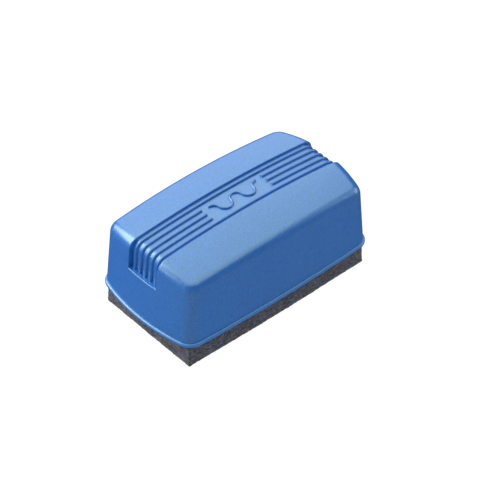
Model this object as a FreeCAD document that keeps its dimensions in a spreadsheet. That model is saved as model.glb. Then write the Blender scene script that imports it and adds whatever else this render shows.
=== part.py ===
import FreeCAD, Part
import math
import os

import Sketcher

# A felt eraser for chalkboards: a hollow moulded shell, the plate that closes it, a sheet of
# adhesive and one block of felt. The long side runs along X, +Z is up, and the origin is on the
# surface that the felt stands on, under the middle of the eraser. All sizes are in millimetres.

# Driving sizes, each kept in the sheet under its own name.
SIZES = {
    # the shell's outside
    "length": 105.0,
    "width": 58.4,
    "height": 47.2,
    "side_bulge": 1.5,
    "end_bulge": 4.6,
    "corner_radius": 7.1,
    "side_draft": 2.1,
    "end_draft": 4.9,
    "long_crown_rise": 3.1,
    "cross_crown_rise": 5.0,
    "top_fillet": 5.0,
    # the bead round the shell's bottom edge
    "bead_out": 0.8,
    "bead_tall": 1.9,
    "bead_round": 0.8,
    # walls and stiffening inside the shell
    "wall": 2.2,
    "inner_rib_thick": 1.6,
    "boss_radius": 4.0,
    "boss_x": 29.0,
    "boss_y": 13.5,
    # the recessed channel along the top and down the ends
    "channel_width": 16.9,
    "channel_top_depth": 1.5,
    "channel_end_depth": 2.5,
    "channel_drop": 15.7,
    "channel_bend": 4.2,
    "channel_edge_round": 0.35,
    "grip_rib_radius": 0.7,
    "grip_rib_margin": 2.05,
    "grip_rib_rise": 0.95,
    "field_half_length": 15.9,
    # the raised wave in the middle of the channel
    "wave_length": 24.0,
    "wave_swing": 5.6,
    "wave_stroke": 1.2,
    "wave_rise": 0.8,
    # the plate, the adhesive and the felt
    "plate_thick": 2.0,
    "plate_gap": 0.15,
    "pin_radius": 2.0,
    "pin_gap": 0.05,
    "pin_length": 9.0,
    "pin_end_gap": 0.5,
    "felt_end_setback": 5.4,
    "felt_side_setback": 3.6,
    "felt_thick": 10.7,
    "felt_corner": 0.9,
    "adhesive_thick": 0.3,
    "adhesive_inset": 1.5,
}

# Sizes that follow from the driving ones, as formulas that the sheet works out.
DERIVED = {
    "shell_base": "felt_thick + adhesive_thick",
    "shell_tall": "height - shell_base",
    "body_length": "length - 2 * bead_out",
    "body_width": "width - 2 * bead_out",
    "side_radius": "(length * length / 4 + side_bulge * side_bulge) / (2 * side_bulge)",
    "end_radius": "(width * width / 4 + end_bulge * end_bulge) / (2 * end_bulge)",
    "body_corner": "corner_radius - bead_out",
    "long_crown_radius":
        "(length * length / 4 + long_crown_rise * long_crown_rise) / (2 * long_crown_rise)",
    "cross_crown_radius":
        "(width * width / 4 + cross_crown_rise * cross_crown_rise) / (2 * cross_crown_rise)",
    "end_lean": "tan(end_draft * 1 deg)",
    "side_lean": "tan(side_draft * 1 deg)",
    "felt_length": "length - 2 * felt_end_setback",
    "felt_width": "width - 2 * felt_side_setback",
    "floor_top": "height - channel_top_depth",
    "floor_foot": "length / 2 - bead_out - channel_end_depth",
    "plate_top": "shell_base + plate_thick",
    "bore_top": "plate_top + pin_length + pin_end_gap",
    "floor_radius": "long_crown_radius - channel_top_depth",
    "channel_ledge": "height - channel_drop",
    "grip_rib_pitch": "(channel_width - 2 * grip_rib_margin) / (grip_ribs - 1)",
    "wave_half": "wave_length / wave_turns",
    "wave_radius": "(wave_half * wave_half + wave_swing * wave_swing) / (4 * wave_swing)",
}

SHEET = "Sizes"
GRIP_RIBS = 5
SPARE = 6.0       # how far a cutting tool reaches past what it cuts
ROOT = 0.5        # how far an added feature is sunk into the wall it grows from
WAVE_TURNS = 4    # half waves in the raised motif

doc = FreeCAD.newDocument("chalkboard_eraser")


def make_sheet():
    """Puts every driving and derived size in the document's sheet, one row each."""
    sheet = doc.addObject("Spreadsheet::Sheet", SHEET)
    rows = {name: str(value) for name, value in SIZES.items()}
    rows["grip_ribs"] = str(GRIP_RIBS)
    rows["wave_turns"] = str(WAVE_TURNS)
    rows.update({name: "=" + formula for name, formula in DERIVED.items()})
    for row, (name, text) in enumerate(rows.items(), start=1):
        sheet.set(f"A{row}", name)
        sheet.set(f"B{row}", text)
        sheet.setAlias(f"B{row}", name)
    doc.recompute()
    return sheet


def size(name):
    """The present value of one of the sheet's sizes."""
    return float(getattr(sheet, name))


def bind(thing, prop, formula):
    """Ties a property to a formula in which $name stands for one of the sheet's sizes."""
    thing.setExpression(prop, formula.replace("$", SHEET + "."))


def origin_part(body, role):
    """One of a body's own origin planes or axes, by its role."""
    return next(f for f in body.Origin.OriginFeatures if f.Role == role)


def new_sketch(body, name, plane):
    """A sketch on one of the body's own origin planes."""
    sketch = body.newObject("Sketcher::SketchObject", name)
    sketch.AttachmentSupport = [(origin_part(body, plane), "")]
    sketch.MapMode = "FlatFace"
    return sketch


def constrain(sketch, name, formula, *args):
    """Adds a named dimension to a sketch and ties it to a formula."""
    index = sketch.addConstraint(Sketcher.Constraint(*args))
    sketch.renameConstraint(index, name)
    bind(sketch, f"Constraints.{name}", formula)


def arc(centre_x, centre_y, radius, start, end):
    """A circular arc in a sketch's plane, anticlockwise between two angles in radians."""
    centre = FreeCAD.Vector(centre_x, centre_y, 0)
    circle = Part.Circle(centre, FreeCAD.Vector(0, 0, 1), radius)
    return Part.ArcOfCircle(circle, start, end)


def bulged_outline(sketch, length, width, corner):
    """Draws a rectangle with bowed sides, bowed ends and round corners about the origin.

    length, width and corner are formulas, and the bows are the sheet's two bulge radii."""
    along, across, round_off = (evaluate(sketch, text) for text in (length, width, corner))
    side, end = size("side_radius"), size("end_radius")
    side_y, end_x = side - across / 2, end - along / 2
    # a corner's centre is corner's radius inside both bows
    corner_x, corner_y = corner_centre(side_y, side - round_off, end_x, end - round_off)
    lean_side = math.atan2(corner_y + side_y, corner_x)
    lean_end = math.atan2(corner_y, corner_x + end_x)
    full = math.pi
    arcs = [
        arc(-end_x, 0, end, -lean_end, lean_end),
        arc(corner_x, corner_y, round_off, lean_end, lean_side),
        arc(0, -side_y, side, lean_side, full - lean_side),
        arc(-corner_x, corner_y, round_off, full - lean_side, full - lean_end),
        arc(end_x, 0, end, full - lean_end, full + lean_end),
        arc(-corner_x, -corner_y, round_off, full + lean_end, full + lean_side),
        arc(0, side_y, side, full + lean_side, 2 * full - lean_side),
        arc(corner_x, -corner_y, round_off, 2 * full - lean_side, 2 * full - lean_end),
    ]
    for piece in arcs:
        sketch.addGeometry(piece, False)
    for index in range(8):
        sketch.addConstraint(Sketcher.Constraint("Tangent", index, 2, (index + 1) % 8, 1))
    for index in (0, 4):
        sketch.addConstraint(Sketcher.Constraint("PointOnObject", index, 3, -1))
    for index in (2, 6):
        sketch.addConstraint(Sketcher.Constraint("PointOnObject", index, 3, -2))
    sketch.addConstraint(Sketcher.Constraint("Equal", 0, 4))
    sketch.addConstraint(Sketcher.Constraint("Equal", 2, 6))
    for index in (3, 5, 7):
        sketch.addConstraint(Sketcher.Constraint("Equal", 1, index))
    constrain(sketch, "end_bow", "$end_radius", "Radius", 0, end)
    constrain(sketch, "side_bow", "$side_radius", "Radius", 2, side)
    constrain(sketch, "corner", corner, "Radius", 1, round_off)
    constrain(sketch, "far_end", f"$end_radius - ({length}) / 2", "DistanceX", 0, 3, -1, 1, end_x)
    constrain(sketch, "near_end", f"$end_radius - ({length}) / 2", "DistanceX", -1, 1, 4, 3, end_x)
    constrain(sketch, "left", f"$side_radius - ({width}) / 2", "DistanceY", 2, 3, -1, 1, side_y)
    constrain(sketch, "right", f"$side_radius - ({width}) / 2", "DistanceY", -1, 1, 6, 3, side_y)


def corner_centre(side_y, side_reach, end_x, end_reach):
    """The point in the first quadrant that lies side_reach from (0, -side_y) and end_reach from
    (-end_x, 0), found by halving an interval of X."""
    low, high = 0.0, end_reach - end_x
    for _ in range(60):
        x = (low + high) / 2
        y = math.sqrt(side_reach ** 2 - x ** 2) - side_y
        if math.hypot(x + end_x, y) < end_reach:
            low = x
        else:
            high = x
    return x, y


def evaluate(owner, formula):
    """The value of a formula of the sheet's sizes."""
    return float(owner.evalExpression(formula.replace("$", SHEET + ".")))


def crowned_block(name, inset, base=f"$shell_base - {ROOT}"):
    """A solid with the shell's outer shape, moved inwards by inset, that starts at base."""
    body = doc.addObject("PartDesign::Body", name)
    foot = new_sketch(body, name + "_foot", "XY_Plane")
    bind(foot, "AttachmentOffset.Base.z", base)
    corner = f"$body_corner - ({inset})"
    bulged_outline(foot, f"$body_length - 2 * ({inset})", f"$body_width - 2 * ({inset})", corner)
    head = new_sketch(body, name + "_head", "XY_Plane")
    bind(head, "AttachmentOffset.Base.z", "$height")
    bulged_outline(
        head,
        f"$body_length - 2 * ({inset}) - 2 * $end_lean * ($height - ({base}))",
        f"$body_width - 2 * ({inset}) - 2 * $side_lean * ($height - ({base}))",
        corner,
    )
    doc.recompute()
    loft = body.newObject("PartDesign::AdditiveLoft", name + "_walls")
    loft.Profile = foot
    loft.Sections = [head]
    loft.Ruled = True
    doc.recompute()
    groove = crown_cut(body, name, inset)
    edges = crown_edges(body)
    fillet = body.newObject("PartDesign::Fillet", name + "_edge")
    fillet.Base = (groove, edges)
    bind(fillet, "Radius", f"min($top_fillet - ({inset}); 0.9 * ({corner}))")
    doc.recompute()
    return body


def crown_cut(body, name, inset):
    """Grooves everything off the body that stands above the crowned top surface."""
    half = size("length") / 2 + SPARE
    top = size("height") - evaluate(body, inset)
    bow = size("long_crown_radius") - evaluate(body, inset)
    drop = bow - math.sqrt(bow ** 2 - half ** 2)
    ceiling = size("height") + SPARE
    axis_z = size("height") - size("cross_crown_radius")
    sketch = new_sketch(body, name + "_crown", "XZ_Plane")
    lean = math.asin(half / bow)
    sketch.addGeometry(arc(0, top - bow, bow, math.pi / 2 - lean, math.pi / 2 + lean), False)
    corners = [(-half, top - drop), (-half, ceiling), (half, ceiling), (half, top - drop)]
    for start, end in zip(corners[:-1], corners[1:]):
        sketch.addGeometry(Part.LineSegment(FreeCAD.Vector(*start, 0), FreeCAD.Vector(*end, 0)))
    for first, first_end, second, second_end in ((0, 2, 1, 1), (1, 2, 2, 1), (2, 2, 3, 1), (3, 2, 0, 1)):
        sketch.addConstraint(
            Sketcher.Constraint("Coincident", first, first_end, second, second_end)
        )
    sketch.addConstraint(Sketcher.Constraint("Vertical", 1))
    sketch.addConstraint(Sketcher.Constraint("Vertical", 3))
    sketch.addConstraint(Sketcher.Constraint("PointOnObject", 0, 3, -2))
    sketch.addConstraint(Sketcher.Constraint("Symmetric", 2, 1, 2, 2, -2))
    constrain(sketch, "bow", f"$long_crown_radius - ({inset})", "Radius", 0, bow)
    constrain(
        sketch, "bow_centre", "$long_crown_radius - $height", "DistanceY", 0, 3, -1, 1, bow - top
    )
    constrain(sketch, "reach", f"$length / 2 + {SPARE}", "DistanceX", -1, 1, 2, 2, half)
    constrain(sketch, "ceiling", f"$height + {SPARE}", "DistanceY", -1, 1, 2, 2, ceiling)
    spine = sketch.addGeometry(
        Part.LineSegment(FreeCAD.Vector(-half, axis_z, 0), FreeCAD.Vector(half, axis_z, 0)), True
    )
    sketch.addConstraint(Sketcher.Constraint("Symmetric", spine, 1, spine, 2, -2))
    constrain(sketch, "spine_reach", f"$length + 2 * {SPARE}", "DistanceX", spine, 1, spine, 2, 2 * half)
    constrain(
        sketch, "spine_depth", "$cross_crown_radius - $height", "DistanceY", spine, 1, -1, 1, -axis_z
    )
    doc.recompute()
    groove = body.newObject("PartDesign::Groove", name + "_top")
    groove.Profile = sketch
    groove.ReferenceAxis = (sketch, ["Axis0"])
    groove.Midplane = True
    groove.Angle = 60.0
    doc.recompute()
    return groove


def crown_edges(body):
    """The edges round the crowned top, which are those that it shares with the walls."""
    shape = body.Shape
    crown = max(shape.Faces, key=lambda face: face.CenterOfMass.z)
    names = []
    for index, edge in enumerate(shape.Edges, start=1):
        if any(edge.isSame(other) for other in crown.Edges):
            names.append(f"Edge{index}")
    return names


def join(sketch, *links):
    """Makes pairs of curve ends meet: each link is curve, its end, curve, its end."""
    for first, first_end, second, second_end in links:
        sketch.addConstraint(
            Sketcher.Constraint("Coincident", first, first_end, second, second_end)
        )


def floor_bend(rise):
    """The channel floor's bend over the far end, for a line that runs rise above the floor.

    Gives the bend's centre and the leaning end line's foot at the ledge."""
    bow = size("floor_radius") + rise
    bend = size("channel_bend") + rise
    lean = math.radians(size("end_draft"))
    foot_x = size("floor_foot") + rise / math.cos(lean)
    start_x = foot_x - bend * math.cos(lean)
    start_z = size("shell_base") - bend * math.sin(lean)
    bow_z = size("floor_top") - size("floor_radius")
    along = -start_x * math.sin(lean) + (start_z - bow_z) * math.cos(lean)
    apart = start_x ** 2 + (start_z - bow_z) ** 2 - (bow - bend) ** 2
    step = -along + math.sqrt(along ** 2 - apart)
    return start_x - step * math.sin(lean), start_z + step * math.cos(lean)


def floor_line(sketch, rise, start, ledge):
    """Draws the far half of the channel's floor line: crown, bend and leaning end.

    rise and ledge are formulas, start is where the crown begins. The curves are 0, 1 and 2."""
    lift, foot_z, start_x = evaluate(sketch, rise), evaluate(sketch, ledge), evaluate(sketch, start)
    bow = size("floor_radius") + lift
    bow_z = size("floor_top") - size("floor_radius")
    bend = size("channel_bend") + lift
    lean = math.radians(size("end_draft"))
    bend_x, bend_z = floor_bend(lift)
    turn = math.atan2(bend_z - bow_z, bend_x)
    sketch.addGeometry(arc(0, bow_z, bow, turn, math.acos(start_x / bow)), False)
    sketch.addGeometry(arc(bend_x, bend_z, bend, lean, turn), False)
    top = FreeCAD.Vector(bend_x + bend * math.cos(lean), bend_z + bend * math.sin(lean), 0)
    foot_x = top.x + (top.y - foot_z) * math.tan(lean)
    sketch.addGeometry(Part.LineSegment(FreeCAD.Vector(foot_x, foot_z, 0), top), False)
    sketch.addConstraint(Sketcher.Constraint("Tangent", 0, 1, 1, 2))
    sketch.addConstraint(Sketcher.Constraint("Tangent", 1, 1, 2, 2))
    sketch.addConstraint(Sketcher.Constraint("PointOnObject", 0, 3, -2))
    constrain(sketch, "bow", f"$floor_radius + {rise}", "Radius", 0, bow)
    constrain(sketch, "bow_centre", "$floor_radius - $floor_top", "DistanceY", 0, 3, -1, 1, -bow_z)
    constrain(sketch, "bend", f"$channel_bend + {rise}", "Radius", 1, bend)
    constrain(
        sketch,
        "foot_x",
        f"$floor_foot + ({rise}) / cos($end_draft * 1 deg) - (({ledge}) - $shell_base) * $end_lean",
        "DistanceX", -1, 1, 2, 1, foot_x,
    )
    constrain(sketch, "foot_z", ledge, "DistanceY", -1, 1, 2, 1, foot_z)
    constrain(sketch, "lean", "$end_draft * 1 deg + 90 deg", "Angle", 2, lean + math.pi / 2)


def channel_tool(name, rise, width, ledge):
    """A solid that fills everything outside a line rise above the channel's floor, far end only
    to the middle, as wide as width and down to ledge."""
    body = doc.addObject("PartDesign::Body", name)
    sketch = new_sketch(body, name + "_line", "XZ_Plane")
    floor_line(sketch, rise, "0", ledge)
    reach = size("length") / 2 + SPARE
    ceiling = size("height") + SPARE
    start, foot = sketch.getPoint(0, 2), sketch.getPoint(2, 1)
    corners = [start, (0, ceiling), (reach, ceiling), (reach, foot.y), foot]
    corners = [FreeCAD.Vector(corner[0], corner[1], 0) for corner in corners]
    for first, second in zip(corners[:-1], corners[1:]):
        sketch.addGeometry(Part.LineSegment(first, second), False)
    join(sketch, (0, 2, 3, 1), (3, 2, 4, 1), (4, 2, 5, 1), (5, 2, 6, 1), (6, 2, 2, 1))
    for direction, line in (("Horizontal", 4), ("Vertical", 5), ("Horizontal", 6)):
        sketch.addConstraint(Sketcher.Constraint(direction, line))
    sketch.addConstraint(Sketcher.Constraint("PointOnObject", 3, 1, -2))
    sketch.addConstraint(Sketcher.Constraint("PointOnObject", 3, 2, -2))
    constrain(sketch, "reach", f"$length / 2 + {SPARE}", "DistanceX", -1, 1, 4, 2, reach)
    constrain(sketch, "ceiling", f"$height + {SPARE}", "DistanceY", -1, 1, 4, 2, ceiling)
    doc.recompute()
    pad = body.newObject("PartDesign::Pad", name + "_pad")
    pad.Profile = sketch
    pad.Midplane = True
    bind(pad, "Length", width)
    doc.recompute()
    half_turn = body.newObject("PartDesign::PolarPattern", name + "_ends")
    half_turn.Originals = [pad]
    half_turn.Axis = (origin_part(body, "Z_Axis"), [""])
    half_turn.Occurrences = 2
    half_turn.Angle = 360
    body.Tip = half_turn
    doc.recompute()
    return body


def free_sketch(name, plane_turn, **offsets):
    """A sketch outside any body, in a plane turned from the horizontal one."""
    sketch = doc.addObject("Sketcher::SketchObject", name)
    sketch.Placement = FreeCAD.Placement(FreeCAD.Vector(), plane_turn)
    for axis, formula in offsets.items():
        bind(sketch, f"Placement.Base.{axis}", formula)
    return sketch


UPRIGHT_ALONG = FreeCAD.Rotation(FreeCAD.Vector(1, 0, 0), 90)
UPRIGHT_ACROSS = FreeCAD.Rotation(FreeCAD.Vector(1, 1, 1), 120)


def domed_section(name, radius, rise, **offsets):
    """A round-topped section in an upright plane across X, sunk by ROOT below its own origin."""
    sketch = free_sketch(name, UPRIGHT_ACROSS, **offsets)
    half, top = evaluate(sheet, radius), evaluate(sheet, rise)
    crest = top - half
    left_foot, right_foot = FreeCAD.Vector(-half, -ROOT, 0), FreeCAD.Vector(half, -ROOT, 0)
    sketch.addGeometry(arc(0, crest, half, 0, math.pi), False)
    sketch.addGeometry(Part.LineSegment(FreeCAD.Vector(-half, crest, 0), left_foot), False)
    sketch.addGeometry(Part.LineSegment(left_foot, right_foot), False)
    sketch.addGeometry(Part.LineSegment(right_foot, FreeCAD.Vector(half, crest, 0)), False)
    sketch.addConstraint(Sketcher.Constraint("Tangent", 0, 2, 1, 1))
    sketch.addConstraint(Sketcher.Constraint("Tangent", 3, 2, 0, 1))
    join(sketch, (1, 2, 2, 1), (2, 2, 3, 1))
    for direction, line in (("Vertical", 1), ("Horizontal", 2), ("Vertical", 3)):
        sketch.addConstraint(Sketcher.Constraint(direction, line))
    sketch.addConstraint(Sketcher.Constraint("PointOnObject", 0, 3, -2))
    constrain(sketch, "radius", radius, "Radius", 0, half)
    constrain(sketch, "crest", f"{rise} - {radius}", "DistanceY", -1, 1, 0, 3, crest)
    constrain(sketch, "root", f"{ROOT}", "DistanceY", 2, 1, -1, 1, ROOT)
    return sketch


def swept(name, section, path):
    """A solid swept from a section along every edge of a path sketch."""
    sweep = doc.addObject("Part::Sweep", name)
    sweep.Sections = [section]
    sweep.Spine = (path, [f"Edge{n + 1}" for n in range(len(path.Shape.Edges))])
    sweep.Solid = True
    sweep.Frenet = False
    return sweep


def fused(name, pieces):
    """One solid made of several."""
    union = doc.addObject("Part::MultiFuse", name)
    union.Shapes = pieces
    union.Refine = True
    return union


def cut(name, base, tool):
    """A solid with a tool's shape taken away."""
    difference = doc.addObject("Part::Cut", name)
    difference.Base = base
    difference.Tool = tool
    return difference


def common(name, first, second):
    """The part that two solids share."""
    overlap = doc.addObject("Part::Common", name)
    overlap.Base = first
    overlap.Tool = second
    return overlap


def grip_ribs():
    """The ribs in the channel. The outer two run its whole length, and the others stop at the
    middle field, which carries the wave."""
    halves = []
    starts = {"outer": "0", "inner": "$field_half_length"}
    paths = {}
    for kind, start in starts.items():
        path = free_sketch(f"{kind}_rib_path", UPRIGHT_ALONG)
        floor_line(path, "0", start, f"$channel_ledge - {ROOT}")
        constrain(path, "start", start, "DistanceX", -1, 1, 0, 2, evaluate(sheet, start))
        paths[kind] = path
    doc.recompute()
    middle = (GRIP_RIBS - 1) / 2
    for number in range(GRIP_RIBS):
        kind = "outer" if number in (0, GRIP_RIBS - 1) else "inner"
        section = domed_section(
            f"rib_{number + 1}_section",
            "$grip_rib_radius",
            "$grip_rib_rise",
            x=starts[kind],
            y=f"$grip_rib_pitch * {number - middle}",
            z=f"$floor_top - $floor_radius + sqrt($floor_radius ^ 2 - ({starts[kind]}) ^ 2)",
        )
        doc.recompute()
        half = swept(f"rib_{number + 1}_far", section, paths[kind])
        mirror = doc.addObject("Part::Mirroring", f"rib_{number + 1}_near")
        mirror.Source = half
        mirror.Normal = FreeCAD.Vector(1, 0, 0)
        halves += [half, mirror]
    doc.recompute()
    return halves


def wave():
    """The raised wave in the middle field: round arcs that run from crest to crest."""
    path = free_sketch("wave_path", FreeCAD.Rotation(), z="$floor_top")
    radius, half, swing = size("wave_radius"), size("wave_half"), size("wave_swing")
    rise_y = swing / 2 - radius
    lean = math.asin(half / (2 * radius))
    up, down = math.pi / 2, -math.pi / 2
    for turn in range(WAVE_TURNS + 1):
        centre_x = (turn - WAVE_TURNS / 2) * half
        crest = turn % 2 == 0
        middle = up if crest else down
        start = middle if turn == WAVE_TURNS else middle - lean
        end = middle if turn == 0 else middle + lean
        path.addGeometry(arc(centre_x, rise_y if crest else -rise_y, radius, start, end), False)
    for turn in range(WAVE_TURNS):
        ends = (1, 1) if turn % 2 == 0 else (2, 2)
        path.addConstraint(Sketcher.Constraint("Tangent", turn, ends[0], turn + 1, ends[1]))
        path.addConstraint(Sketcher.Constraint("Equal", turn, turn + 1))
    constrain(path, "radius", "$wave_radius", "Radius", 0, radius)
    for turn in range(WAVE_TURNS + 1):
        place = (turn - WAVE_TURNS / 2) * half
        formula = f"{abs(turn - WAVE_TURNS / 2)} * $wave_half"
        ends = (turn, 3, -1, 1) if place < 0 else (-1, 1, turn, 3)
        constrain(path, f"centre_{turn}", formula, "DistanceX", *ends, abs(place))
    constrain(path, "depth", "$wave_radius - $wave_swing / 2", "DistanceY", 0, 3, -1, 1, -rise_y)
    path.addConstraint(Sketcher.Constraint("Vertical", 0, 3, 0, 2))
    path.addConstraint(Sketcher.Constraint("Vertical", WAVE_TURNS, 3, WAVE_TURNS, 1))
    doc.recompute()
    section = domed_section(
        "wave_section",
        "$wave_stroke / 2",
        "$wave_rise",
        x="-$wave_length / 2",
        y="$wave_swing / 2",
        z="$floor_top",
    )
    doc.recompute()
    pieces = [swept("wave_line", section, path)]
    for side, name in ((-1, "near"), (1, "far")):
        post = doc.addObject("Part::Cylinder", f"wave_{name}_post")
        bind(post, "Radius", "$wave_stroke / 2")
        bind(post, "Height", f"$wave_rise - $wave_stroke / 2 + {ROOT}")
        dome = doc.addObject("Part::Sphere", f"wave_{name}_dome")
        bind(dome, "Radius", "$wave_stroke / 2")
        for thing, height in ((post, f"-{ROOT}"), (dome, "$wave_rise - $wave_stroke / 2")):
            bind(thing, "Placement.Base.x", f"{side} * $wave_length / 2")
            bind(thing, "Placement.Base.y", "$wave_swing / 2")
            bind(thing, "Placement.Base.z", f"$floor_top + {height}")
            pieces.append(thing)
    return fused("raised_wave", pieces)


def bead():
    """The bead round the shell's bottom edge."""
    body = doc.addObject("PartDesign::Body", "bead")
    sketch = new_sketch(body, "bead_outline", "XY_Plane")
    bind(sketch, "AttachmentOffset.Base.z", "$shell_base")
    bulged_outline(sketch, "$length", "$width", "$corner_radius")
    doc.recompute()
    pad = body.newObject("PartDesign::Pad", "bead_band")
    pad.Profile = sketch
    bind(pad, "Length", "$bead_tall")
    doc.recompute()
    level = [
        f"Edge{index}"
        for index, edge in enumerate(body.Shape.Edges, start=1)
        if edge.BoundBox.ZLength < 1e-6
    ]
    fillet = body.newObject("PartDesign::Fillet", "bead_edge")
    fillet.Base = (pad, level)
    bind(fillet, "Radius", "$bead_round")
    doc.recompute()
    return body


def box(name, **formulas):
    """A box whose sizes and corner are tied to formulas: length, width, height, x, y and z."""
    solid = doc.addObject("Part::Box", name)
    for word, formula in formulas.items():
        prop = f"Placement.Base.{word}" if word in "xyz" else word.capitalize()
        bind(solid, prop, formula)
    return solid


def round_post(name, radius, height, x, y, z):
    """An upright cylinder whose sizes and place are tied to formulas."""
    solid = doc.addObject("Part::Cylinder", name)
    bind(solid, "Radius", radius)
    bind(solid, "Height", height)
    for axis, formula in zip("xyz", (x, y, z)):
        bind(solid, f"Placement.Base.{axis}", formula)
    return solid


def at_bosses(kind, radius, height, base):
    """One upright cylinder at each of the four bosses."""
    return [
        round_post(
            f"{kind}_{end}_{side}", radius, height,
            f"{along} * $boss_x", f"{across} * $boss_y", base,
        )
        for along, end in ((-1, "near"), (1, "far"))
        for across, side in ((-1, "right"), (1, "left"))
    ]


def stiffening():
    """The grid of ribs and the four bosses that the shell's hollow is formed round, from the plate
    up. They reach past the hollow on every side."""
    tools = at_bosses("boss", "$boss_radius", "$shell_tall", "$plate_top")
    for side, name in ((-1, "right"), (1, "left")):
        tools.append(box(
            f"long_rib_{name}", length="$length", width="$inner_rib_thick",
            height="$shell_tall", x="-$length / 2",
            y=f"{side} * $boss_y - $inner_rib_thick / 2", z="$plate_top",
        ))
    for place, name in ((-1, "near"), (0, "middle"), (1, "far")):
        tools.append(box(
            f"cross_rib_{name}", length="$inner_rib_thick", width="$width",
            height="$shell_tall", x=f"{place} * $boss_x - $inner_rib_thick / 2",
            y="-$width / 2", z="$plate_top",
        ))
    return fused("grid", tools)


def softened_rim(name, base):
    """Rounds the edges where the channel's side walls and ledges meet the shell's outside."""
    half, ledge = size("channel_width") / 2, size("channel_ledge")
    doc.recompute()
    shape = base.Shape
    chosen = []
    for index, edge in enumerate(shape.Edges, start=1):
        reach = edge.BoundBox
        on_side = reach.YLength < 1e-5 and abs(abs(reach.YMin) - half) < 1e-5
        on_ledge = reach.ZLength < 1e-5 and abs(reach.ZMin - ledge) < 1e-5
        if not (on_side or on_ledge):
            continue
        outside = any(
            max(face.BoundBox.YMax, -face.BoundBox.YMin) > half + 1.0
            for face in shape.ancestorsOfType(edge, Part.Face)
        )
        if outside:
            chosen.append((index, size("channel_edge_round"), size("channel_edge_round")))
    fillet = doc.addObject("Part::Fillet", name)
    fillet.Base = base
    fillet.Edges = chosen
    doc.recompute()
    return fillet


def make_shell():
    """The moulded shell: outside, bead, channel, hollow, stiffening, ribs and wave."""
    outer = crowned_block("outer_block", "0", "$shell_base + $bead_tall / 2")
    channel = channel_tool("channel", "0", "$channel_width", "$channel_ledge")
    backing = channel_tool(
        "channel_backing", "-$wall", "$channel_width + 2 * $wall", "$channel_ledge - $wall"
    )
    outside = fused("outside", [outer, bead()])
    grooved = softened_rim("grooved_outside", cut("channelled", outside, channel))
    hollow = cut("hollow", crowned_block("inner_block", "$wall"), backing)
    walls = cut("walls", grooved, cut("rooms", hollow, stiffening()))
    bores = at_bosses("bore", "$pin_radius + $pin_gap", "$bore_top - $plate_top", "$plate_top")
    drilled = cut("drilled", walls, fused("bores", bores))
    return fused("shell", [drilled, wave()] + grip_ribs())


def make_base_plate():
    """The plate in the shell's mouth, with the four pins that push into the bosses."""
    inset = "$wall + $plate_gap"
    slab = box(
        "plate_slab", length="$length", width="$width", height="$plate_thick",
        x="-$length / 2", y="-$width / 2", z="$shell_base",
    )
    plate = common("plate", crowned_block("plate_limit", inset), slab)
    pins = at_bosses("pin", "$pin_radius", "$pin_length + $plate_thick / 2", "$plate_top - $plate_thick / 2")
    return fused("base_plate", [plate] + pins)


def rounded_slab(name, length, width, corner, thick, base):
    """A flat block with rounded upright corners, made as a padded rectangle."""
    body = doc.addObject("PartDesign::Body", name)
    sketch = new_sketch(body, name + "_outline", "XY_Plane")
    bind(sketch, "AttachmentOffset.Base.z", base)
    half_x, half_y = evaluate(body, length) / 2, evaluate(body, width) / 2
    corners = [(-half_x, -half_y), (half_x, -half_y), (half_x, half_y), (-half_x, half_y)]
    for first, second in zip(corners, corners[1:] + corners[:1]):
        ends = [FreeCAD.Vector(*point, 0) for point in (first, second)]
        sketch.addGeometry(Part.LineSegment(*ends), False)
    join(sketch, *[(line, 2, (line + 1) % 4, 1) for line in range(4)])
    for line, direction in enumerate(("Horizontal", "Vertical", "Horizontal", "Vertical")):
        sketch.addConstraint(Sketcher.Constraint(direction, line))
    sketch.addConstraint(Sketcher.Constraint("Symmetric", 0, 1, 1, 2, -1, 1))
    constrain(sketch, "along", length, "DistanceX", 0, 1, 0, 2, 2 * half_x)
    constrain(sketch, "across", width, "DistanceY", 1, 1, 1, 2, 2 * half_y)
    doc.recompute()
    pad = body.newObject("PartDesign::Pad", name + "_pad")
    pad.Profile = sketch
    bind(pad, "Length", thick)
    doc.recompute()
    upright = [
        f"Edge{index}"
        for index, edge in enumerate(body.Shape.Edges, start=1)
        if edge.BoundBox.ZLength > 1e-6
    ]
    fillet = body.newObject("PartDesign::Fillet", name + "_corners")
    fillet.Base = (pad, upright)
    bind(fillet, "Radius", corner)
    doc.recompute()
    return body


def make_adhesive_sheet():
    """The double-sided film between the felt and the plate."""
    return rounded_slab(
        "adhesive_sheet",
        "$felt_length - 2 * $adhesive_inset",
        "$felt_width - 2 * $adhesive_inset",
        "$felt_corner",
        "$adhesive_thick",
        "$felt_thick",
    )


def make_felt_pad():
    """The felt block that wipes the board."""
    return rounded_slab(
        "felt_pad", "$felt_length", "$felt_width", "$felt_corner", "$felt_thick", "0"
    )


def check(pieces):
    """Stops if any object failed to build or any piece isn't one sound solid."""
    for thing in doc.Objects:
        faults = {"Invalid", "Error"} & set(thing.State)
        if faults:
            raise RuntimeError(f"{thing.Label} failed to build: {sorted(faults)}")
    for piece in pieces:
        shape = piece.Shape
        if shape.isNull() or not shape.isValid() or len(shape.Solids) != 1:
            raise RuntimeError(f"{piece.Label} isn't one sound solid")


def export(pieces):
    """Writes each piece to its own STEP file, named after its label."""
    os.makedirs("parts", exist_ok=True)
    for piece in pieces:
        piece.Shape.exportStep(os.path.join("parts", piece.Label + ".step"))
        bounds = piece.Shape.optimalBoundingBox()
        print(f"{piece.Label}: {bounds.XLength:.2f} x {bounds.YLength:.2f} x {bounds.ZLength:.2f}")


sheet = make_sheet()
parts = [make_shell(), make_base_plate(), make_adhesive_sheet(), make_felt_pad()]
doc.recompute()
check(parts)
export(parts)
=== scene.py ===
"""Dresses the chalkboard eraser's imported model: its moulded shell, plate, adhesive and felt block.

Laid out as a Blender add-on and run as a script. Lengths are in metres unless a name says otherwise.
"""

import math

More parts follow.
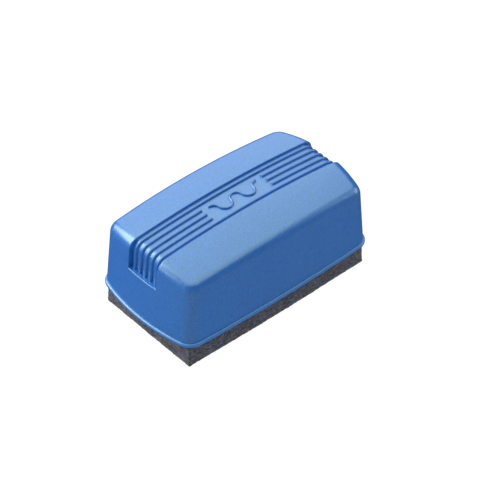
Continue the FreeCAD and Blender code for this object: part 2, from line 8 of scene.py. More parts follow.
import bpy
import numpy as np
from mathutils import Euler, Matrix, Vector, noise


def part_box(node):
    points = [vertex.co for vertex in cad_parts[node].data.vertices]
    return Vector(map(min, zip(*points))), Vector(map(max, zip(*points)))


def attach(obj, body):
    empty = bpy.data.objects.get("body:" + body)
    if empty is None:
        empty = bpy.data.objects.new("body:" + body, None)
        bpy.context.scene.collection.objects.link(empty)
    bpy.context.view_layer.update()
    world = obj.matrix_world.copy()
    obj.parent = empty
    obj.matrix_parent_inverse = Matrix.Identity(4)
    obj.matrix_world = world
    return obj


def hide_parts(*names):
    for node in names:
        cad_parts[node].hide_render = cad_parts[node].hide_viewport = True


bl_info = {
    "name": "Chalkboard eraser",
    "version": (1, 0, 0),
    "blender": (4, 5, 0),
    "location": "View3D > Sidebar > Eraser",
    "description": "Builds the finished pieces of a felt chalkboard eraser around its packed model",
    "category": "Object",
}

MM = 0.001
BODY = "root"

# corners of a CAD mesh that round to the same multiple of this are one
WELD = 0.001 * MM
# the lowest that a loose fibre may reach above the floor
FLOOR_GAP = 0.02 * MM
# each soft light: its name, its place, how far across it is, and its power in watts
LIGHTS = (
    ("above", (0.06, 0.12, 1.12), 2.0, 13.5),
    ("back_left", (-0.46, 0.86, 0.68), 0.9, 9.5),
    ("back_right", (0.58, 0.86, 0.48), 0.9, 2.6),
    ("left", (-1.00, 0.40, 0.50), 0.6, 1.6),
    ("right", (1.04, -0.43, 0.43), 0.6, 2.0),
)

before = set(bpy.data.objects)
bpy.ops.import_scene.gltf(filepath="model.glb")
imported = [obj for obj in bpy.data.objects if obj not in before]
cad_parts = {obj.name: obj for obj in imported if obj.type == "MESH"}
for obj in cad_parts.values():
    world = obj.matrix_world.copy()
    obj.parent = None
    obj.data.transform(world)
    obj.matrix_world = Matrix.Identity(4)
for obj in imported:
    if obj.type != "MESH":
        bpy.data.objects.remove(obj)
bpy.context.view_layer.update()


# ---------------------------------------------------------------- shader graphs


class Value:
    """A shader socket in a Python expression: arithmetic on it adds Math nodes."""

    def __init__(self, graph, socket):
        self.graph = graph
        self.socket = socket

    def math(self, operation, *operands):
        """The result of a Math node on these operands, in order."""
        return self.graph.node(
            "ShaderNodeMath", {"operation": operation}, dict(enumerate(operands))
        )

    def __add__(self, other):
        return self.math("ADD", self, other)

    def __radd__(self, other):
        return self.math("ADD", other, self)

    def __sub__(self, other):
        return self.math("SUBTRACT", self, other)

    def __rsub__(self, other):
        return self.math("SUBTRACT", other, self)

    def __mul__(self, other):
        return self.math("MULTIPLY", self, other)

    def __rmul__(self, other):
        return self.math("MULTIPLY", other, self)

    def above(self, low, high):
        """0 below low, 1 above high, and an even slope between."""
        return self.graph.node(
            "ShaderNodeMapRange", {"clamp": True}, {"Value": self, "From Min": low, "From Max": high}
        )


class Graph:
    """A new material's node tree, with its Principled shader."""

    def __init__(self, name):
        self.material = bpy.data.materials.new(name)
        self.material.use_nodes = True
        self.tree = self.material.node_tree
        self.shader = self.tree.nodes["Principled BSDF"]
        coordinates = self.tree.nodes.new("ShaderNodeTexCoord")
        self.place = Value(self, coordinates.outputs["Object"])

    def node(self, kind, settings=None, inputs=None, output=0):
        """Adds a node: its settings first, then its sockets' values or links."""
        made = self.tree.nodes.new(kind)
        for name, value in (settings or {}).items():
            setattr(made, name, value)
        for key, value in (inputs or {}).items():
            self.feed(made.inputs[key], value)
        return Value(self, made.outputs[output])

    def feed(self, socket, value):
        """Links a Value to a socket, or sets the socket to a constant."""
        if isinstance(value, Value):
            self.tree.links.new(value.socket, socket)
        else:
            socket.default_value = value

    def shade(self, **sockets):
        """Feeds the shader: words of a socket's name are joined by underscores."""
        for name, value in sockets.items():
            self.feed(self.shader.inputs[name.replace("_", " ").title()], value)

    def constants(self, values):
        """Sets what is the same all over, straight on the shader's own sockets."""
        for name, value in values.items():
            self.shader.inputs[name].default_value = value

    def noise(self, scale, detail=2.0, roughness=0.5, place=None, distortion=0.0):
        """A soft random value from 0 to 1, with features about 1 / scale metres across."""
        return self.node(
            "ShaderNodeTexNoise",
            {"noise_dimensions": "3D"},
            {
                "Vector": place or self.place,
                "Scale": scale,
                "Detail": detail,
                "Roughness": roughness,
                "Distortion": distortion,
            },
        )

    def mix(self, factor, first, second):
        """Two colours mixed: the first at factor 0, the second at 1."""
        return self.node(
            "ShaderNodeMix", {"data_type": "RGBA"}, {0: factor, 6: first, 7: second}, output=2
        )

    def height(self):
        """The object's Z coordinate."""
        return self.node("ShaderNodeSeparateXYZ", {}, {"Vector": self.place}, output=2)

    def stretched(self, x, y, z, turn=(0.0, 0.0, 0.0)):
        """Object coordinates, turned and then scaled along each axis."""
        return self.node(
            "ShaderNodeMapping",
            {"vector_type": "POINT"},
            {"Vector": self.place, "Rotation": turn, "Scale": (x, y, z)},
        )

    def channel(self, colour, index):
        """One channel of a colour: 0 is red, 1 is green."""
        return self.node("ShaderNodeSeparateColor", {}, {0: colour}, output=index)

    def bump(self, height, distance, strength):
        """A bump normal from a height from 0 to 1, distance deep, in metres."""
        return self.node(
            "ShaderNodeBump", {}, {"Height": height, "Distance": distance, "Strength": strength}
        )


def rgba(colour):
    """A colour with full alpha."""
    return (*colour, 1.0)


def shaded(colour, times, plus=0.0):
    """A colour made darker or lighter, with full alpha."""
    return rgba([c * times + plus for c in colour])


# ---------------------------------------------------------------- settings


class ShellSettings(bpy.types.PropertyGroup):
    """Finish of the moulded plastic."""

    colour: bpy.props.FloatVectorProperty(
        name="Colour", description="Colour of the shell's plastic", subtype="COLOR",
        size=3, min=0.0, max=1.0, default=(0.010, 0.170, 0.68),
    )
    roughness: bpy.props.FloatProperty(
        name="Roughness", description="Satin of the moulded surface", subtype="FACTOR",
        min=0.0, max=1.0, default=0.36,
    )
    grain: bpy.props.FloatProperty(
        name="Grain", description="Size of the spark-eroded texture", subtype="DISTANCE",
        unit="LENGTH", precision=5, min=0.05 * MM, default=0.55 * MM,
    )
    grain_depth: bpy.props.FloatProperty(
        name="Grain depth", description="Depth of the spark-eroded texture", subtype="DISTANCE",
        unit="LENGTH", precision=6, min=0.0, default=0.012 * MM,
    )
    bead_height: bpy.props.FloatProperty(
        name="Bead height", description="Height of the bead round the shell's foot", subtype="DISTANCE",
        unit="LENGTH", precision=5, min=0.0, default=1.9 * MM,
    )
    # colour of the painted highlight along the bead's crest
    bead_highlight_colour: bpy.props.FloatVectorProperty(
        name="Rubbed colour", description="Colour of the bead's crest, where the plastic is rubbed",
        subtype="COLOR", size=3, min=0.0, max=1.0, default=(0.045, 0.30, 0.86),
    )
    sharp_angle: bpy.props.FloatProperty(
        name="Sharp angle", description="Edges that turn by more than this are kept crisp",
        subtype="ANGLE", unit="ROTATION", default=math.radians(38),
    )


class FeltSettings(bpy.types.PropertyGroup):
    """Shape and finish of the felt block."""

    colour: bpy.props.FloatVectorProperty(
        name="Colour", description="Main colour of the wool", subtype="COLOR",
        size=3, min=0.0, max=1.0, default=(0.034, 0.045, 0.072),
    )
    cell: bpy.props.FloatProperty(
        name="Cell", description="Spacing of the block's mesh", subtype="DISTANCE",
        unit="LENGTH", precision=5, min=0.3 * MM, default=0.6 * MM,
    )
    edge: bpy.props.FloatProperty(
        name="Edge", description="Radius of the block's worn edges", subtype="DISTANCE",
        unit="LENGTH", precision=5, min=0.0, default=0.45 * MM,
    )
    lump: bpy.props.FloatProperty(
        name="Lump", description="How far the matted surface rises and falls",
        subtype="DISTANCE", unit="LENGTH", precision=5, min=0.0, default=0.16 * MM,
    )
    bow: bpy.props.FloatProperty(
        name="Bow", description="How far the middle of each side bows outward",
        subtype="DISTANCE", unit="LENGTH", precision=5, min=0.0, default=0.8 * MM,
    )
    curl: bpy.props.FloatProperty(
        name="Curl", description="How far the bottom edge lifts between the corners",
        subtype="DISTANCE", unit="LENGTH", precision=5, min=0.0, default=0.35 * MM,
    )
    fibre_length: bpy.props.FloatProperty(
        name="Fibre length", description="Length of a loose fibre", subtype="DISTANCE",
        unit="LENGTH", precision=5, min=0.1 * MM, default=1.3 * MM,
    )
    fibre_radius: bpy.props.FloatProperty(
        name="Fibre radius", description="Radius of a loose fibre", subtype="DISTANCE",
        unit="LENGTH", precision=6, min=0.005 * MM, default=0.03 * MM,
    )
    fibre_density: bpy.props.FloatProperty(
        name="Fibre density", description="Loose fibres to a square metre of the sides",
        min=0.0, default=3.0e6,
    )
    seed: bpy.props.IntProperty(name="Seed", description="Seed of every random choice", default=7)


class StageSettings(bpy.types.PropertyGroup):
    """Camera, floor and lights."""

    azimuth: bpy.props.FloatProperty(
        name="Azimuth", description="Camera's turn about Z, from behind -Y", subtype="ANGLE",
        unit="ROTATION", default=math.radians(-41.953),
    )
    elevation: bpy.props.FloatProperty(
        name="Elevation", description="Camera's height above the horizon", subtype="ANGLE",
        unit="ROTATION", default=math.radians(42.296),
    )
    roll: bpy.props.FloatProperty(
        name="Roll", description="Camera's turn about its own axis", subtype="ANGLE",
        unit="ROTATION", default=math.radians(0.598),
    )
    distance: bpy.props.FloatProperty(
        name="Distance", description="From the camera to the point it aims at",
        subtype="DISTANCE", unit="LENGTH", default=0.9916,
    )
    lens: bpy.props.FloatProperty(
        name="Lens", description="Focal length on a 36 mm wide film, in millimetres",
        default=173.07,
    )
    aim: bpy.props.FloatVectorProperty(
        name="Aim", description="Offset of the aimed point from the origin, right and up in view",
        subtype="XYZ", size=2, unit="LENGTH", default=(5.73 * MM, 12.68 * MM),
    )


# ---------------------------------------------------------------- meshes


def new_object(name, mesh):
    """A linked object at the origin for a mesh."""
    obj = bpy.data.objects.new(name, mesh)
    bpy.context.scene.collection.objects.link(obj)
    return obj


def frozen(obj):
    """Replaces an object's mesh with its evaluated one and drops its modifiers."""
    graph = bpy.context.evaluated_depsgraph_get()
    mesh = bpy.data.meshes.new_from_object(obj.evaluated_get(graph))
    obj.modifiers.clear()
    obj.data = mesh
    mesh.name = obj.name
    return obj


def merged_copy(node, name, sharp_angle):
    """A new object with a CAD node's shape: corners joined, round faces smooth, edges crisp."""
    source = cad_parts[node].data
    corners = np.zeros(len(source.vertices) * 3)
    source.vertices.foreach_get("co", corners)
    source.calc_loop_triangles()
    triangles = np.zeros(len(source.loop_triangles) * 3, dtype=np.int64)
    source.loop_triangles.foreach_get("vertices", triangles)
    keys = np.round(corners.reshape(-1, 3) / WELD).astype(np.int64)
    unique, back = np.unique(keys, axis=0, return_inverse=True)
    faces = back.reshape(-1)[triangles].reshape(-1, 3)
    whole = (faces[:, 0] != faces[:, 1]) & (faces[:, 1] != faces[:, 2]) & (faces[:, 0] != faces[:, 2])
    mesh = bpy.data.meshes.new(name)
    mesh.from_pydata((unique * WELD).tolist(), [], faces[whole].tolist())
    mesh.shade_smooth()
    mesh.set_sharp_from_angle(angle=sharp_angle)
    obj = new_object(name, mesh)
    weighted = obj.modifiers.new("even_shading", "WEIGHTED_NORMAL")
    weighted.keep_sharp = True
    weighted.mode = "FACE_AREA"
    weighted.weight = 50
    return frozen(obj)


def block_surface(low, high, cell):
    """Points and quads of a box's whole surface, divided into cells of about one size."""
    spans = [max(2, round((b - a) / cell)) for a, b in zip(low, high)]
    index, points, quads = {}, [], []

    def point(key):
        if key not in index:
            index[key] = len(points)
            points.append([a + (b - a) * k / n for a, b, k, n in zip(low, high, key, spans)])
        return index[key]

    for axis in range(3):
        first, second = (axis + 1) % 3, (axis + 2) % 3
        for side in (0, spans[axis]):
            for i in range(spans[first]):
                for j in range(spans[second]):
                    corners = [(i, j), (i + 1, j), (i + 1, j + 1), (i, j + 1)]
                    if side == 0:
                        corners.reverse()
                    face = []
                    for a, b in corners:
                        key = [0, 0, 0]
                        key[axis], key[first], key[second] = side, a, b
                        face.append(point(tuple(key)))
                    quads.append(face)
    return np.array(points), quads


def rounded(points, low, high, radius):
    """Pulls a box's surface points in, so that its edges and corners have a radius."""
    inner = np.clip(points, low + radius, high - radius)
    offset = points - inner
    length = np.maximum(np.linalg.norm(offset, axis=1, keepdims=True), 1e-12)
    return inner + offset * np.minimum(1.0, radius / length)


# ---------------------------------------------------------------- materials


def painted_bead_highlight(graph, settings):
    """1 on the upper half of the bead round the shell's foot, where a paler colour paints in a highlight."""
    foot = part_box("shell")[0][2]
    middle, top = foot + settings.bead_height / 2, foot + settings.bead_height
    height = graph.height()
    fade = 0.2 * MM
    return height.above(middle - fade, middle + fade) * (1.0 - height.above(top - fade, top))


def moulded_plastic(name, settings, shade=1.0, rougher=0.0, highlighted=0.0):
    """Satin moulded plastic: a spark texture, faint flow marks, fine scuffs and a painted highlight on the
    bead's crest.
    """
    graph = Graph(name)
    flow = graph.noise(28.0, detail=3.0, roughness=0.55)
    cloud = graph.noise(160.0, detail=4.0, roughness=0.6)
    speckle = graph.noise(1.0 / settings.grain, detail=2.0, roughness=0.6)
    pits = graph.node(
        "ShaderNodeTexVoronoi", {"feature": "F1"},
        {"Vector": graph.place, "Scale": 0.8 / settings.grain, "Randomness": 1.0},
    )
    strokes = graph.stretched(0.05, 1.0, 0.4, turn=(0.2, 0.1, 0.5))
    scuff = graph.noise(900.0, detail=5.0, roughness=0.7, place=strokes)
    scuffed = scuff.above(0.66, 0.74) * graph.noise(45.0, detail=2.0).above(0.52, 0.66)
    colour = [c * shade for c in settings.colour]
    light = rgba([min(1.0, c * 1.05 + 0.002) for c in colour])
    base = graph.mix(flow.above(0.3, 0.7), shaded(colour, 0.95), light)
    base = graph.mix(cloud.above(0.35, 0.75) * 0.35, base, rgba(colour))
    base = graph.mix(speckle.above(0.48, 0.62) * 0.7, base, shaded(colour, 1.25, 0.003))
    base = graph.mix(speckle.above(0.38, 0.52), shaded(colour, 0.82), base)
    base = graph.mix(scuffed * 0.25, base, shaded(colour, 0.7, 0.2))
    # painted highlight: the upper half of the bead is mixed towards a paler colour
    if highlighted:
        base = graph.mix(painted_bead_highlight(graph, settings) * highlighted, base, rgba(settings.bead_highlight_colour))
    uneven = (cloud - 0.5) * 0.10 + (speckle - 0.5) * 0.10 + scuffed * 0.12
    graph.shade(
        base_color=base,
        roughness=settings.roughness + rougher + uneven,
        normal=graph.bump(speckle * 0.7 + pits * 0.5, settings.grain_depth * 2.0, 0.8),
    )
    graph.constants({
        "IOR": 1.8,
        "Specular IOR Level": 1.0,
        "Specular Tint": (0.74, 1.0, 0.50, 1.0),
        "Coat Weight": 0.8,
        "Coat Roughness": 0.22,
        "Coat Tint": (0.95, 1.0, 1.0, 1.0),
    })
    return graph.material


def adhesive_film(name):
    """Milky acrylic film, with small trapped bubbles."""
    graph = Graph(name)
    cloud = graph.noise(220.0, detail=4.0)
    bubbles = graph.node(
        "ShaderNodeTexVoronoi", {"feature": "F1"}, {"Vector": graph.place, "Scale": 900.0}
    )
    spots = 1.0 - bubbles.above(0.12, 0.22)
    base = graph.mix(cloud.above(0.3, 0.7), (0.50, 0.47, 0.38, 1.0), (0.66, 0.64, 0.56, 1.0))
    base = graph.mix(spots * 0.6, base, (0.80, 0.80, 0.76, 1.0))
    graph.shade(
        base_color=base,
        roughness=0.35 + cloud * 0.2,
        normal=graph.bump(cloud + spots * 0.4, 0.02 * MM, 0.5),
    )
    return graph.material


# the coloured flecks in the wool: where each one's share of the tufts starts, and its colour
FLECKS = (
    (0.00, (0.150, 0.068, 0.035)),
    (0.09, (0.230, 0.120, 0.060)),
    (0.15, (0.040, 0.070, 0.190)),
    (0.23, (0.050, 0.120, 0.085)),
    (0.31, (0.120, 0.060, 0.150)),
)
FLECK_SHARE = 0.06
FLECK_BLUR = 0.004
# how far the tufts' outlines wander
TUFT_SWAY = 1.4 * MM


def heathered(graph, settings):
    """Colour of recycled wool: grey of several depths, with flecks of brown, blue, green, purple."""
    drift = graph.noise(1500.0, detail=3.0, roughness=0.6)
    sway = graph.node(
        "ShaderNodeTexNoise", {"noise_dimensions": "3D"},
        {"Vector": graph.place, "Scale": 1600.0, "Detail": 4.0}, output=1,
    )
    wander = graph.node(
        "ShaderNodeVectorMath", {"operation": "MULTIPLY_ADD"},
        {0: sway, 1: (TUFT_SWAY, TUFT_SWAY, TUFT_SWAY), 2: graph.stretched(0.8, 0.8, 1.9)},
    )
    tuft = graph.node(
        "ShaderNodeTexVoronoi", {"feature": "F1"},
        {"Vector": wander, "Scale": 1100.0, "Randomness": 1.0}, output=1,
    )
    pick, depth = graph.channel(tuft, 0), graph.channel(tuft, 1)
    grey = settings.colour
    base = graph.mix(drift.above(0.25, 0.75), shaded(grey, 0.25), rgba(grey))
    base = graph.mix(depth.above(0.55, 1.0) * 0.85, base, shaded(grey, 3.0, 0.01))
    for start, colour in FLECKS:
        end = start + FLECK_SHARE
        band = pick.above(start, start + FLECK_BLUR) * (1.0 - pick.above(end, end + FLECK_BLUR))
        base = graph.mix(band * 0.75, base, rgba(colour))
    threads = graph.stretched(1.0, 0.35, 0.8, turn=(0.6, 0.4, 0.9))
    lint = graph.noise(2600.0, detail=4.0, roughness=0.7, place=threads)
    return graph.mix(lint.above(0.60, 0.78) * 0.60, base, (0.26, 0.27, 0.30, 1.0))


def wool_felt(name, settings):
    """Needled recycled felt: heathered colour, dull, with a matted fibrous relief."""
    graph = Graph(name)
    fibre = graph.noise(3200.0, detail=5.0, roughness=0.7, distortion=0.6)
    clump = graph.noise(1100.0, detail=3.0, roughness=0.6)
    graph.shade(
        base_color=heathered(graph, settings),
        roughness=0.88 + clump * 0.10,
        normal=graph.bump(fibre * 0.6 + clump * 0.8, 0.25 * MM, 0.9),
    )
    graph.constants({"Sheen Weight": 0.25, "Sheen Roughness": 0.6, "Specular IOR Level": 0.25})
    return graph.material


def loose_fibre(name, settings):
    """The same wool in single fibres, a little lighter."""
    graph = Graph(name)
    strand = graph.noise(2500.0, detail=2.0)
    colour = graph.mix(strand.above(0.45, 0.8) * 0.6, heathered(graph, settings), (0.30, 0.30, 0.31, 1.0))
    graph.shade(base_color=colour, roughness=0.85 + strand * 0.1)
    graph.constants({"Specular IOR Level": 0.3})
    return graph.material


def pale_floor(name):
    """A plain white floor that mostly glows, like a light table, so that it stays even."""
    graph = Graph(name)
    grain = graph.noise(3.0, detail=3.0)
    graph.shade(
        base_color=graph.mix(grain, (0.11, 0.11, 0.11, 1.0), (0.13, 0.13, 0.13, 1.0)),
        roughness=0.75,
    )
    graph.constants({"Emission Color": (1.0, 1.0, 1.0, 1.0), "Emission Strength": 0.96})
    return graph.material


# ---------------------------------------------------------------- geometry nodes


class Field:
    """Builds a geometry node tree, node by node."""

    def __init__(self, name, inputs):
        self.tree = bpy.data.node_groups.new(name, "GeometryNodeTree")
        self.sockets = {}
        self.tree.interface.new_socket("Geometry", in_out="INPUT", socket_type="NodeSocketGeometry")
        for label, kind in inputs:
            item = self.tree.interface.new_socket(label, in_out="INPUT", socket_type=kind)
            self.sockets[label] = item.identifier
        self.tree.interface.new_socket("Geometry", in_out="OUTPUT", socket_type="NodeSocketGeometry")
        self.given = self.tree.nodes.new("NodeGroupInput")
        self.result = self.tree.nodes.new("NodeGroupOutput")

    def node(self, kind, settings=None, inputs=None):
        """Adds a node: its settings first, then its sockets' values or links."""
        made = self.tree.nodes.new(kind)
        for name, value in (settings or {}).items():
            setattr(made, name, value)
        for key, value in (inputs or {}).items():
            if isinstance(value, bpy.types.NodeSocket):
                self.tree.links.new(value, made.inputs[key])
            else:
                made.inputs[key].default_value = value
        return made


FUZZ_INPUTS = (
    ("Density", "NodeSocketFloat"),
    ("Length", "NodeSocketFloat"),
    ("Radius", "NodeSocketFloat"),
    ("Seed", "NodeSocketInt"),
    ("Material", "NodeSocketMaterial"),
)


def fuzz_tree():
    """Loose curved fibres, scattered over a surface, leaning every way and kept off the floor."""
    field = Field("felt_fuzz", FUZZ_INPUTS)
    given = field.given.outputs
    scatter = field.node(
        "GeometryNodeDistributePointsOnFaces", {"distribute_method": "RANDOM"},
        {"Mesh": given["Geometry"], "Density": given["Density"], "Seed": given["Seed"]},
    )
    # one fibre is an arc about 1 long, with its middle on its point
    radius, sweep, middle = 0.6, math.radians(95), 0.42
    # how far it leans either way, and the shortest one's share of the longest
    lean_most, shortest = 0.55, 0.45
    arc = field.node(
        "GeometryNodeCurveArc", {"mode": "RADIUS"},
        {"Resolution": 4, "Radius": radius, "Sweep Angle": sweep},
    )
    ring = field.node(
        "GeometryNodeCurvePrimitiveCircle", {"mode": "RADIUS"}, {"Resolution": 3, "Radius": 1.0}
    )
    slim = field.node(
        "ShaderNodeMath", {"operation": "DIVIDE"}, {0: given["Radius"], 1: given["Length"]}
    ).outputs[0]
    widths = field.node("ShaderNodeCombineXYZ", {}, {0: slim, 1: slim, 2: slim})
    profile = field.node(
        "GeometryNodeTransform", {},
        {"Geometry": ring.outputs["Curve"], "Scale": widths.outputs[0]},
    )
    strand = field.node(
        "GeometryNodeCurveToMesh", {},
        {"Curve": arc.outputs["Curve"], "Profile Curve": profile.outputs["Geometry"], "Fill Caps": True},
    )
    centred = field.node(
        "GeometryNodeTransform", {},
        {"Geometry": strand.outputs["Mesh"], "Translation": (-middle, -middle, 0.0)},
    )
    lean = field.node(
        "FunctionNodeRandomValue", {"data_type": "FLOAT_VECTOR"},
        {
            0: (-lean_most, -lean_most, 0.0),
            1: (lean_most, lean_most, math.tau),
            "Seed": given["Seed"],
        },
    )
    turned = field.node(
        "FunctionNodeRotateRotation", {"rotation_space": "LOCAL"},
        {"Rotation": scatter.outputs["Rotation"], "Rotate By": lean.outputs[0]},
    )
    size = field.node(
        "FunctionNodeRandomValue", {"data_type": "FLOAT"},
        {2: shortest, 3: 1.0, "Seed": given["Seed"]},
    )
    scale = field.node(
        "ShaderNodeMath", {"operation": "MULTIPLY"}, {0: size.outputs[1], 1: given["Length"]}
    )
    placed = field.node(
        "GeometryNodeInstanceOnPoints", {},
        {
            "Points": scatter.outputs["Points"],
            "Instance": centred.outputs["Geometry"],
            "Rotation": turned.outputs["Rotation"],
            "Scale": scale.outputs[0],
        },
    )
    whole = field.node("GeometryNodeRealizeInstances", {}, {"Geometry": placed.outputs["Instances"]})
    spot = field.node("GeometryNodeInputPosition")
    axes = field.node("ShaderNodeSeparateXYZ", {}, {0: spot.outputs[0]})
    height = field.node(
        "ShaderNodeMath", {"operation": "MAXIMUM"}, {0: axes.outputs[2], 1: FLOOR_GAP}
    )
    raised = field.node(
        "ShaderNodeCombineXYZ", {}, {0: axes.outputs[0], 1: axes.outputs[1], 2: height.outputs[0]}
    )
    standing = field.node(
        "GeometryNodeSetPosition", {},
        {"Geometry": whole.outputs["Geometry"], "Position": raised.outputs[0]},
    )
    dressed = field.node(
        "GeometryNodeSetMaterial", {},
        {"Geometry": standing.outputs["Geometry"], "Material": given["Material"]},
    )
    field.tree.links.new(dressed.outputs["Geometry"], field.result.inputs["Geometry"])
    return field


# ---------------------------------------------------------------- pieces


class ERASER_OT_shell(bpy.types.Operator):
    """Makes the moulded shell's finished mesh and plastic"""

    bl_idname = "eraser.shell"
    bl_label = "Moulded shell"

    def execute(self, context):
        settings = context.scene.eraser_shell
        shell = merged_copy("shell", "moulded_shell", settings.sharp_angle)
        # the bead's crest gets a painted highlight
        plastic = moulded_plastic("shell_plastic_satin", settings, highlighted=0.5)
        shell.data.materials.append(plastic)
        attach(shell, BODY)
        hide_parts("shell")
        return {"FINISHED"}


class ERASER_OT_plate(bpy.types.Operator):
    """Gives the carrier plate and the adhesive sheet their finishes"""

    bl_idname = "eraser.plate"
    bl_label = "Plate and adhesive"

    def execute(self, context):
        settings = context.scene.eraser_shell
        plastic = moulded_plastic("plate_plastic_plain", settings, shade=0.92, rougher=0.08)
        for node, material in (("base_plate", plastic), ("adhesive_sheet", adhesive_film("adhesive_milky"))):
            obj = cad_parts[node]
            obj.data.materials.clear()
            obj.data.materials.append(material)
        return {"FINISHED"}


class ERASER_OT_felt(bpy.types.Operator):
    """Makes the felt block with its matted faces, bowed sides and worn edges"""

    bl_idname = "eraser.felt"
    bl_label = "Felt block"

    def execute(self, context):
        settings = context.scene.eraser_felt
        low, high = (np.array(corner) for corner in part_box("felt_pad"))
        points, quads = block_surface(low, high, settings.cell)
        points = rounded(points, low, high, settings.edge)
        points = matted(points, low, high, settings)
        mesh = bpy.data.meshes.new("felt_block")
        mesh.from_pydata(points.tolist(), [], quads)
        mesh.shade_smooth()
        felt = new_object("felt_block", mesh)
        felt.data.materials.append(wool_felt("felt_heathered", settings))
        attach(felt, BODY)
        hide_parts("felt_pad")
        return {"FINISHED"}


def lumps(points, scale, seed):
    """Smooth noise from -1 to 1 at each point, with features about 1 / scale metres across."""
    shifted = Vector((seed, 2.0 * seed, 0.0))
    return np.array([noise.noise(Vector(point) * scale + shifted) for point in points])


def matted(points, low, high, settings):
    """Moves a block's points as cutting, pressing and use leave them."""
    middle = (low + high) / 2
    half = (high - low) / 2
    share = (points - middle) / half
    depth = (high[2] - points[:, 2]) / (high[2] - low[2])
    # each point's outward direction, which turns over the last tenth before an edge
    outward = np.sign(share) * np.clip((np.abs(share) - 0.9) / 0.1, 0.0, 1.0)
    outward /= np.maximum(np.linalg.norm(outward, axis=1, keepdims=True), 1e-9)
    # the matted surface rises and falls, except at the glued top
    coarse = lumps(points, 260.0, settings.seed)
    fine = lumps(points, 900.0, settings.seed)
    lift = settings.lump * (0.5 * coarse + 0.9 * fine - 0.25)
    lift *= np.clip(depth * 4.0, 0.0, 1.0)
    moved = points + outward * lift[:, None]
    # the sides bow outward, the ends half as far
    bow = settings.bow * (0.4 + 0.6 * depth)
    moved[:, 0] += 0.5 * bow * share[:, 0] * (1.0 - share[:, 1] ** 2)
    moved[:, 1] += bow * share[:, 1] * (1.0 - share[:, 0] ** 2)
    # the foot of each face spreads a little, most of all at the corners
    near_corner = (np.abs(share[:, 0]) * np.abs(share[:, 1])) ** 6
    spread = 1.0 + np.clip(depth - 0.55, 0.0, 1.0) * (0.004 + 0.012 * near_corner)
    moved[:, 0] = middle[0] + (moved[:, 0] - middle[0]) * spread
    moved[:, 1] = middle[1] + (moved[:, 1] - middle[1]) * spread
    # the bottom edge lifts between the corners, and nothing goes below the floor
    rim = np.maximum(np.abs(share[:, 0]), np.abs(share[:, 1])) ** 18
    rise = settings.curl * rim * (1.0 - near_corner) * np.clip(depth * 2.0 - 1.0, 0.0, 1.0)
    waver = 1.0 + 0.5 * lumps(points * (1.0, 1.0, 0.0), 90.0, settings.seed)
    moved[:, 2] += rise * waver
    moved[:, 2] = np.maximum(moved[:, 2], low[2])
    return moved


class ERASER_OT_fuzz(bpy.types.Operator):
    """Scatters loose fibres over the felt block's sides"""

    bl_idname = "eraser.fuzz"
    bl_label = "Loose fibres"

    def execute(self, context):
        settings = context.scene.eraser_felt
        felt = bpy.data.objects["felt_block"]
        field = fuzz_tree()
        fibre = loose_fibre("felt_loose_fibre", settings)
        for name, axis in (("fuzz_long_sides", 1), ("fuzz_short_sides", 0)):
            carrier = new_object(name, side_faces(felt, axis))
            modifier = carrier.modifiers.new("fuzz", "NODES")
            modifier.node_group = field.tree
            given = {
                "Density": settings.fibre_density,
                "Length": settings.fibre_length,
                "Radius": settings.fibre_radius,
                "Seed": settings.seed + axis,
                "Material": fibre,
            }
            for label, value in given.items():
                modifier[field.sockets[label]] = value
            frozen(carrier)
            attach(carrier, BODY)
        return {"FINISHED"}


def side_faces(felt, axis):
    """A mesh of the felt block's faces that point along one level axis."""
    source = felt.data
    points = np.zeros(len(source.vertices) * 3)
    source.vertices.foreach_get("co", points)
    squarely = 0.7
    faces = [
        tuple(face.vertices) for face in source.polygons if abs(face.normal[axis]) > squarely
    ]
    used = sorted({corner for face in faces for corner in face})
    place = {corner: index for index, corner in enumerate(used)}
    mesh = bpy.data.meshes.new("carrier")
    points = points.reshape(-1, 3)[used]
    mesh.from_pydata(points.tolist(), [], [[place[corner] for corner in face] for face in faces])
    return mesh


class ERASER_OT_stage(bpy.types.Operator):
    """Makes the floor, the lights and the camera"""

    bl_idname = "eraser.stage"
    bl_label = "Stage"

    def execute(self, context):
        make_floor()
        make_lights(context)
        make_camera(context)
        return {"FINISHED"}


def make_floor():
    """A wide pale floor at the felt's foot, kept out of the plastic's reflections."""
    reach = 4.0
    corners = [(-reach, -reach, 0.0), (reach, -reach, 0.0), (reach, reach, 0.0), (-reach, reach, 0.0)]
    mesh = bpy.data.meshes.new("floor")
    mesh.from_pydata(corners, [], [(0, 1, 2, 3)])
    floor = new_object("floor", mesh)
    floor.data.materials.append(pale_floor("floor_pale"))
    floor.visible_glossy = False


def make_lights(context):
    """A dim white sky, a large soft light above, and smaller ones behind and to each side."""
    world = bpy.data.worlds.new("studio")
    world.use_nodes = True
    nodes, links = world.node_tree.nodes, world.node_tree.links
    nodes["Background"].inputs["Color"].default_value = (1.0, 1.0, 1.0, 1.0)
    # the sky looks as pale as the floor, but lights the eraser only a little
    seen, cast = 1.0, 0.05
    strength = nodes.new("ShaderNodeMath")
    strength.operation = "MULTIPLY_ADD"
    strength.inputs[1].default_value = seen - cast
    strength.inputs[2].default_value = cast
    links.new(nodes.new("ShaderNodeLightPath").outputs["Is Camera Ray"], strength.inputs[0])
    links.new(strength.outputs[0], nodes["Background"].inputs["Strength"])
    context.scene.world = world
    for light in LIGHTS:
        soft_light(*light)


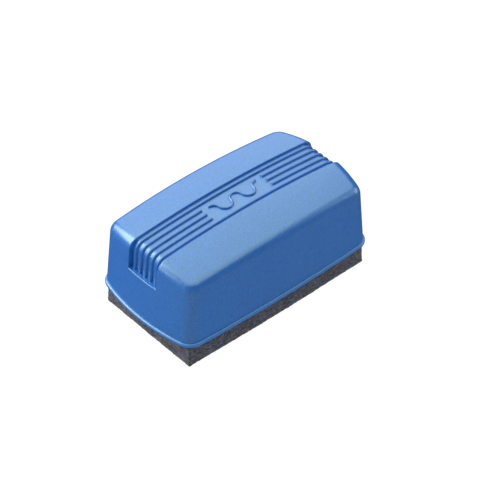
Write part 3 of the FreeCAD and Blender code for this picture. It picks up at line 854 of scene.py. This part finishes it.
def soft_light(name, place, across, power):
    """A square area light that faces the eraser."""
    data = bpy.data.lights.new(name, "AREA")
    data.shape = "SQUARE"
    data.size = across
    data.energy = power
    light = bpy.data.objects.new(name, data)
    light.location = place
    light.rotation_euler = Vector(place).to_track_quat("Z", "Y").to_euler()
    light.visible_camera = False
    bpy.context.scene.collection.objects.link(light)


def make_camera(context):
    """A long lens that looks down on one corner."""
    settings = context.scene.eraser_stage
    tilt = Euler((math.pi / 2 - settings.elevation, 0.0, settings.azimuth)).to_matrix()
    tilt = tilt @ Matrix.Rotation(settings.roll, 3, "Z")
    data = bpy.data.cameras.new("camera")
    data.sensor_width = 36.0
    data.lens = settings.lens
    data.clip_start, data.clip_end = 0.05, 20.0
    camera = bpy.data.objects.new("camera", data)
    camera.location = tilt @ Vector((settings.aim[0], settings.aim[1], settings.distance))
    camera.rotation_euler = tilt.to_euler()
    context.scene.collection.objects.link(camera)
    context.scene.camera = camera
    context.scene.view_settings.view_transform = "Standard"


# ---------------------------------------------------------------- add-on


STEPS = (ERASER_OT_shell, ERASER_OT_plate, ERASER_OT_felt, ERASER_OT_fuzz, ERASER_OT_stage)


class ERASER_PT_pieces(bpy.types.Panel):
    """Lists the steps that build the eraser"""

    bl_idname = "ERASER_PT_pieces"
    bl_label = "Chalkboard eraser"
    bl_space_type = "VIEW_3D"
    bl_region_type = "UI"
    bl_category = "Eraser"

    def draw(self, context):
        for step in STEPS:
            self.layout.operator(step.bl_idname)


SETTINGS = {
    "eraser_shell": ShellSettings,
    "eraser_felt": FeltSettings,
    "eraser_stage": StageSettings,
}
CLASSES = (*SETTINGS.values(), *STEPS, ERASER_PT_pieces)


def register():
    """Registers every class and hangs the settings on the scene."""
    for cls in CLASSES:
        bpy.utils.register_class(cls)
    for name, cls in SETTINGS.items():
        setattr(bpy.types.Scene, name, bpy.props.PointerProperty(type=cls))


def unregister():
    """Takes back what register did."""
    for name in SETTINGS:
        delattr(bpy.types.Scene, name)
    for cls in reversed(CLASSES):
        bpy.utils.unregister_class(cls)


def main():
    """Builds every piece and the stage."""
    register()
    for step in STEPS:
        group, name = step.bl_idname.split(".")
        getattr(getattr(bpy.ops, group), name)()


if __name__ == "__main__":
    main()
